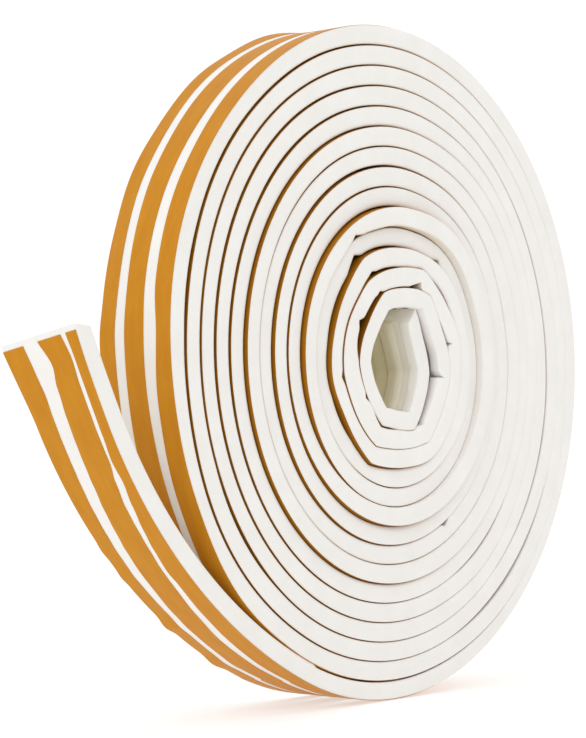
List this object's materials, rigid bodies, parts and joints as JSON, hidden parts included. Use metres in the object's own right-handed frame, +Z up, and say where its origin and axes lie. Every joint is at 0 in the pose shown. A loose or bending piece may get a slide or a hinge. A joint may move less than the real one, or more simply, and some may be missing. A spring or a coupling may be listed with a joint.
{
  "type": "rubber door weatherstrip",
  "caption": "Coil of self-adhesive white foam rubber seal strip with a free tail, its adhesive side covered by gold release-paper ribbons.",
  "frame": {"origin": "on the floor line under the middle of the whole part's box, with the coil standing on its rim", "axes": "+Z up, +Y along the coil's axis from its front end to its rear end, the tail reaches out and up towards -X"},
  "size_m": [0.1588, 0.0202, 0.1359],
  "materials": {
    "foam_rubber": "matt, fine closed skin",
    "release_paper": "satin, silicone-coated"
  },
  "bodies": {
    "root": {"strip": "foam_rubber", "liner_front": "release_paper", "liner_middle": "release_paper", "liner_rear": "release_paper"}
  },
  "joints": []
}
